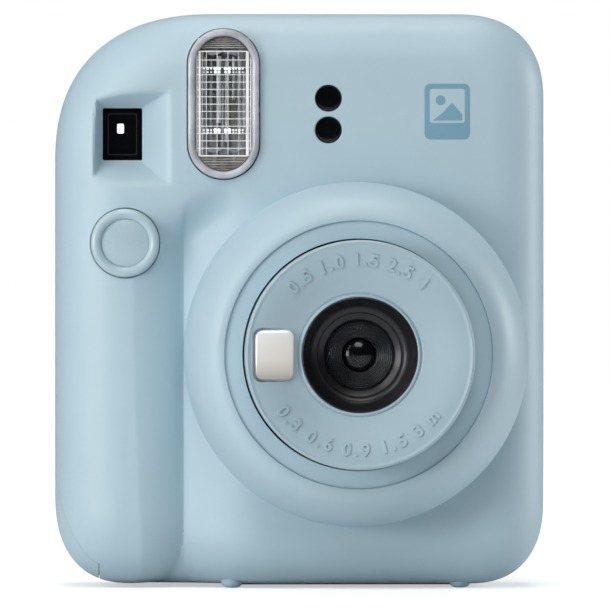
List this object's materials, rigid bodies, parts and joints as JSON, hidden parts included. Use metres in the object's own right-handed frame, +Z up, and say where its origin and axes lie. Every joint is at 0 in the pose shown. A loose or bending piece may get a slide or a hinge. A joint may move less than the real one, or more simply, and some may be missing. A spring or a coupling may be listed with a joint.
{
  "type": "instant camera",
  "caption": "Instant film camera with a rounded upright body, side grip, turning pop-out lens, built-in flash, viewfinder, back door for the film pack and a slot in the top.",
  "frame": {"origin": "middle of the body's width and depth at the surface that it stands on, with the lens out", "axes": "+Z up, the lens faces -Y, +X to the right as seen from the front"},
  "size_m": [0.104, 0.0736, 0.122],
  "materials": {
    "body_plastic": "pale blue moulded plastic, fine satin grain",
    "black_plastic": "matt black",
    "dark_window": "gloss black window",
    "lens_glass": "coated lens",
    "clear_lens": "clear ribbed lens",
    "mirror": "polished",
    "steel": "plain",
    "gear_plastic": "white moulded",
    "board": "green laminate",
    "capacitor_sleeve": "shrink sleeve",
    "battery_jacket": "printed jacket",
    "seal_foam": "soft foam"
  },
  "bodies": {
    "root": {"front_cover": "body_plastic", "rear_cover": "body_plastic", "lens_bezel": "body_plastic", "foot_left": "body_plastic", "foot_right": "body_plastic", "foot_rear": "body_plastic", "viewfinder_tube": "black_plastic", "viewfinder_eyepiece": "black_plastic", "film_chamber": "black_plastic", "dark_cone": "black_plastic", "battery_box": "black_plastic", "viewfinder_window": "dark_window", "sensor_window_upper": "dark_window", "sensor_window_lower": "dark_window", "counter_window": "dark_window", "flash_lens": "clear_lens", "flash_tube": "clear_lens", "flash_reflector": "mirror", "strap_bar_left": "steel", "strap_bar_right": "steel", "roller_bracket": "steel", "gear_shaft": "steel", "drive_motor": "steel", "battery_contact_lower": "steel", "battery_contact_upper": "steel", "button_spring": "steel", "screw_upper_left": "steel", "screw_lower_left": "steel", "screw_upper_right": "steel", "screw_lower_right": "steel", "circuit_board": "board", "flash_capacitor": "capacitor_sleeve", "aa_cell_front": "battery_jacket", "aa_cell_rear": "battery_jacket", "light_seal": "seal_foam"},
    "shutter_button": {"shutter_button": "body_plastic"},
    "mode_ring": {"mode_ring": "body_plastic"},
    "lens_barrel": {"lens_barrel": "body_plastic", "lens_face": "body_plastic", "selfie_mirror": "mirror", "lens_trim_ring": "black_plastic", "front_lens": "lens_glass", "rear_lens": "lens_glass", "shutter_housing": "black_plastic"},
    "shutter_blade": {"shutter_blade": "black_plastic"},
    "back_door": {"back_door": "body_plastic", "film_window": "dark_window", "pressure_pad_lower": "steel", "pressure_pad_upper": "steel", "door_hinge_pin": "steel"},
    "door_latch": {"door_latch": "body_plastic"},
    "battery_door": {"battery_door": "body_plastic"},
    "battery_latch": {"battery_latch": "body_plastic"},
    "roller_drive": {"roller_drive": "black_plastic", "roller_gear": "gear_plastic"},
    "roller_idler": {"roller_idler": "black_plastic"},
    "drive_gear": {"drive_gear": "gear_plastic"},
    "motor_pinion": {"motor_pinion": "gear_plastic"},
    "film_claw": {"film_claw": "steel"},
    "counter_dial": {"counter_dial": "gear_plastic"}
  },
  "joints": [
    {"name": "release_press", "type": "slide", "parent": "root", "child": "shutter_button", "axis": [0, 1, 0], "range_m": [0, 0.0015], "stiffness_N_per_m": 500, "springref_m": -0.0008, "deforming": ["button_spring"]},
    {"name": "mode_ring_turn", "type": "hinge", "parent": "root", "child": "mode_ring", "pos_m": [0.0117, -0.0232, 0.0497], "axis": [0, -1, 0], "range_deg": [-60, 25]},
    {"name": "lens_extend", "type": "slide", "parent": "root", "child": "lens_barrel", "axis": [0, -1, 0], "range_m": [-0.0071, 0.003]},
    {"name": "shutter_swing", "type": "hinge", "parent": "lens_barrel", "child": "shutter_blade", "pos_m": [0.0207, -0.0248, 0.0512], "axis": [0, -1, 0], "range_deg": [0, 40], "stiffness_Nm_per_rad": 0.0003, "springref_deg": -17.19},
    {"name": "back_door_swing", "type": "hinge", "parent": "root", "child": "back_door", "pos_m": [0.0455, 0.0326, 0.06], "axis": [0, 0, -1], "range_deg": [0, 104]},
    {"name": "door_latch_slide", "type": "slide", "parent": "back_door", "child": "door_latch", "axis": [1, 0, 0], "range_m": [0, 0.002], "stiffness_N_per_m": 300, "springref_m": -0.001},
    {"name": "battery_door_swing", "type": "hinge", "parent": "root", "child": "battery_door", "pos_m": [-0.0429, 0.0118, 0.0017], "axis": [0, -1, 0], "range_deg": [0, 80]},
    {"name": "battery_latch_slide", "type": "slide", "parent": "battery_door", "child": "battery_latch", "axis": [0, 0, -1], "range_m": [0, 0.002], "stiffness_N_per_m": 300, "springref_m": -0.001},
    {"name": "roller_turn", "type": "hinge", "parent": "root", "child": "roller_drive", "pos_m": [0, 0.0165, 0.1055], "axis": [1, 0, 0], "continuous": true},
    {"name": "idler_turn", "type": "hinge", "parent": "root", "child": "roller_idler", "pos_m": [0, 0.0231, 0.1055], "axis": [1, 0, 0], "continuous": true},
    {"name": "drive_gear_turn", "type": "hinge", "parent": "root", "child": "drive_gear", "pos_m": [0.0475, 0.0098, 0.09615], "axis": [1, 0, 0], "continuous": true},
    {"name": "pinion_turn", "type": "hinge", "parent": "root", "child": "motor_pinion", "pos_m": [0.0475, 0.0098, 0.08715], "axis": [1, 0, 0], "continuous": true},
    {"name": "claw_slide", "type": "slide", "parent": "root", "child": "film_claw", "axis": [0, 0, 1], "range_m": [0, 0.004], "stiffness_N_per_m": 120, "springref_m": -0.001},
    {"name": "counter_turn", "type": "hinge", "parent": "root", "child": "counter_dial", "pos_m": [-0.036, 0.0314, 0.02], "axis": [0, 1, 0], "range_deg": [0, 297]}
  ],
  "couplings": [
    {"joint": "lens_extend", "follows": "mode_ring_turn", "m_per_rad": 0.0066845},
    {"joint": "idler_turn", "follows": "roller_turn", "ratio": -1},
    {"joint": "drive_gear_turn", "follows": "roller_turn", "ratio": -0.64286},
    {"joint": "pinion_turn", "follows": "roller_turn", "ratio": 2.25}
  ]
}
